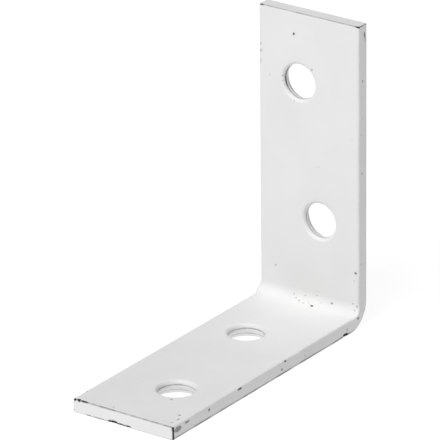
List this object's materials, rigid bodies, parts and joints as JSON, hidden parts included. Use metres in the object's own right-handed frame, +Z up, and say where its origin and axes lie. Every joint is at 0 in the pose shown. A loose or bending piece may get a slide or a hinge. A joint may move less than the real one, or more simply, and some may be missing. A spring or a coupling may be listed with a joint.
{
  "type": "angle bracket",
  "caption": "Small L-shaped angle bracket: a flat steel strip bent through a right angle, painted white, with staggered round screw holes in both legs.",
  "frame": {"origin": "centre of the base leg's underside, midway between its toe and the heel plane", "axes": "+X across the strip, +Y from the toe of the base leg to the back of the upright leg, +Z up along the upright leg"},
  "size_m": [0.0152, 0.041, 0.04],
  "materials": {
    "white_paint": "satin white paint, a little rough in the fold, thin and dark along the cropped edges"
  },
  "bodies": {
    "root": {"angle_bracket": "white_paint"}
  },
  "joints": []
}
